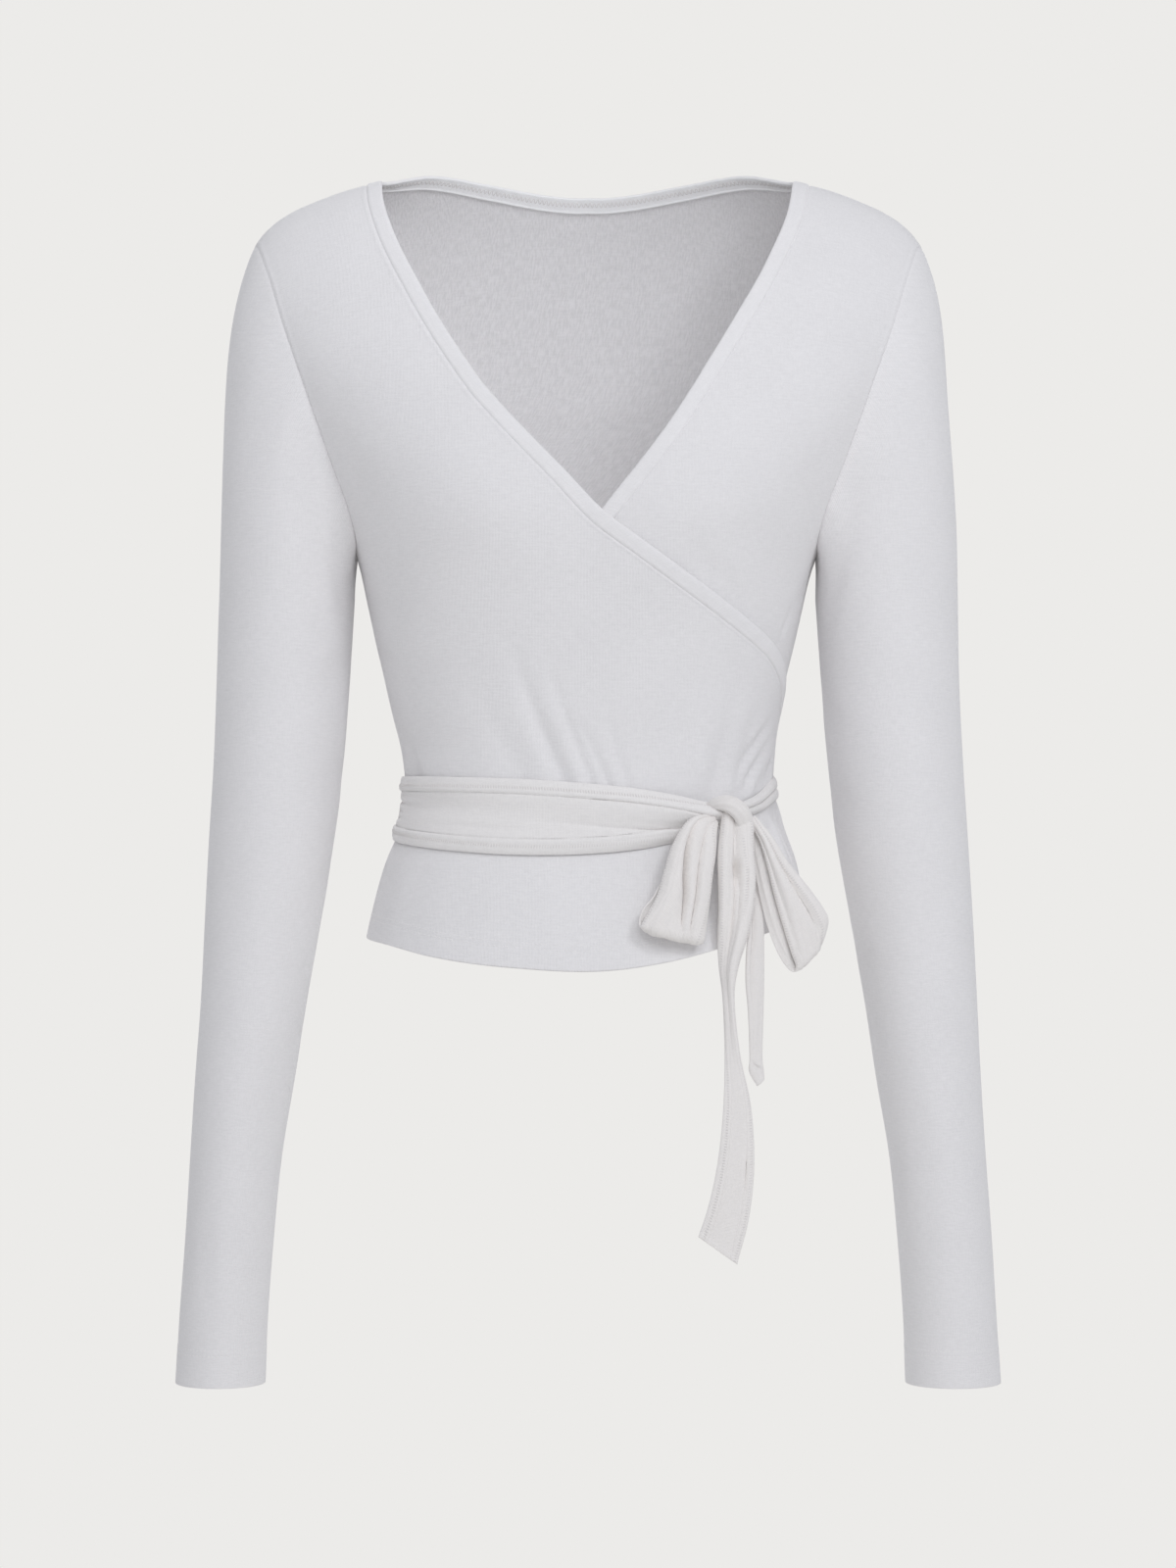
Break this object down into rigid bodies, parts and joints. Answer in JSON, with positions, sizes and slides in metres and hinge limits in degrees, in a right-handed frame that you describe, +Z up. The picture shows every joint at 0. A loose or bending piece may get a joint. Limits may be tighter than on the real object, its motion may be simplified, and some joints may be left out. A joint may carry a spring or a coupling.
{
  "type": "wrap top",
  "caption": "Long-sleeved jersey wrap top in its worn form: crossed V-neck fronts, plain cuffs and a wide sash tied in a bow at the wearer's left waist.",
  "frame": {"origin": "midway between the high points of the shoulders, in the plane through the side seams", "axes": "+Z up, the front faces -Y, +X is the wearer's left"},
  "size_m": [0.4606, 0.225, 0.6769],
  "materials": {
    "jersey": "matt fine-rib knit",
    "jersey_band": "matt knit, doubled and topstitched"
  },
  "bodies": {
    "root": {"front_right": "jersey", "front_left": "jersey", "back": "jersey", "sleeve_right": "jersey", "sleeve_left": "jersey", "binding_right": "jersey_band", "binding_left": "jersey_band", "binding_back": "jersey_band", "sash_front": "jersey_band", "sash_left": "jersey_band", "sash_back": "jersey_band", "knot": "jersey_band", "loop_left": "jersey_band", "loop_right": "jersey_band", "tail_long": "jersey_band", "tail_short": "jersey_band"}
  },
  "joints": []
}
